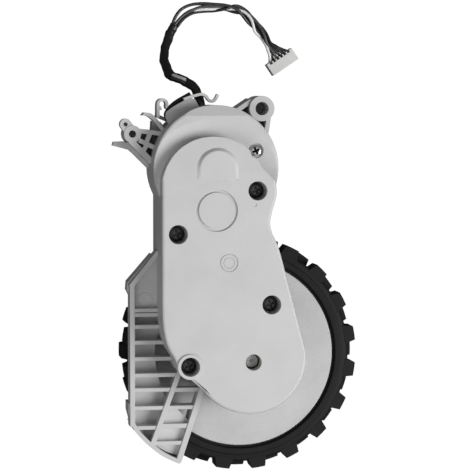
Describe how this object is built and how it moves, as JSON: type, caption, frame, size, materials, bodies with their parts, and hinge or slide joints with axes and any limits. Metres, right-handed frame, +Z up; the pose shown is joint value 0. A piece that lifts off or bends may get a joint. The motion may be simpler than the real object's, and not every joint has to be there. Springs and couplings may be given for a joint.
{
  "type": "robot vacuum wheel module",
  "caption": "Drive wheel module of a robot vacuum: lugged tyre on a light rim, geared motor in a grey housing with a ribbed skirt, swing pivot boss and a lead with a plug",
  "frame": {"origin": "on the wheel axis, in the plane of the wheel's outboard face, which lies on the table", "axes": "Z up along the wheel axis toward the gear cover, Y from the wheel axis toward the motor, X to the right when seen from the cover"},
  "size_m": [0.0739, 0.1401, 0.0425],
  "materials": {
    "tyre_rubber": "matte black rubber",
    "rim_plastic": "finely textured light grey",
    "gear_plastic": "smooth natural white",
    "bright_steel": "ground",
    "lamination_steel": "stamped",
    "can_steel": "zinc plated, drawn",
    "sintered_bronze": "sintered",
    "brass": "machined",
    "black_plastic": "matte",
    "ferrite": "pressed",
    "board": "solder mask",
    "shell_plastic": "moulded grey",
    "cover_plastic": "moulded light grey, fine texture",
    "black_steel": "black oxide",
    "chromed_steel": "nickel plated",
    "black_insulation": "smooth",
    "wire_insulation": "smooth",
    "white_plastic": "smooth off-white"
  },
  "bodies": {
    "housing": {"rear_shell": "shell_plastic", "front_cover": "cover_plastic", "motor_can": "can_steel", "motor_end_cap": "black_plastic", "encoder_board": "board", "motor_screws": "bright_steel", "cover_screws": "black_steel", "small_screw": "chromed_steel", "axle_bearing": "bright_steel", "axle_bush": "sintered_bronze", "gear_pins": "bright_steel", "cable_clip": "white_plastic", "branch_leads": "black_insulation", "cable_sleeve": "black_insulation", "wire_bundle": "wire_insulation", "plug": "white_plastic"},
    "wheel": {"wheel_rim": "rim_plastic", "tyre": "tyre_rubber", "hub_cap": "rim_plastic", "axle_screw": "bright_steel", "wheel_axle": "bright_steel", "output_gear": "gear_plastic"},
    "third_gear": {"gear_three": "gear_plastic"},
    "second_gear": {"gear_two": "gear_plastic"},
    "first_gear": {"gear_one": "gear_plastic"},
    "rotor": {"motor_rotor": "lamination_steel", "motor_pinion": "brass", "encoder_magnet": "ferrite"}
  },
  "joints": [
    {"name": "wheel_spin", "type": "hinge", "parent": "housing", "child": "wheel", "pos_m": [0, 0, 0.009], "axis": [0, 0, 1], "continuous": true},
    {"name": "third_gear_spin", "type": "hinge", "parent": "housing", "child": "third_gear", "pos_m": [-0.0087, 0.01507, 0.025], "axis": [0, 0, 1], "continuous": true},
    {"name": "second_gear_spin", "type": "hinge", "parent": "housing", "child": "second_gear", "pos_m": [-0.00883, 0.02977, 0.03], "axis": [0, 0, 1], "continuous": true},
    {"name": "first_gear_spin", "type": "hinge", "parent": "housing", "child": "first_gear", "pos_m": [-0.01069, 0.0439, 0.033], "axis": [0, 0, 1], "continuous": true},
    {"name": "rotor_spin", "type": "hinge", "parent": "housing", "child": "rotor", "pos_m": [-0.01027, 0.05589, 0.02], "axis": [0, 0, 1], "continuous": true}
  ],
  "couplings": [
    {"joint": "third_gear_spin", "follows": "wheel_spin", "ratio": -2.4118},
    {"joint": "second_gear_spin", "follows": "wheel_spin", "ratio": 5.4667},
    {"joint": "first_gear_spin", "follows": "wheel_spin", "ratio": -14.008},
    {"joint": "rotor_spin", "follows": "wheel_spin", "ratio": 56.033}
  ]
}
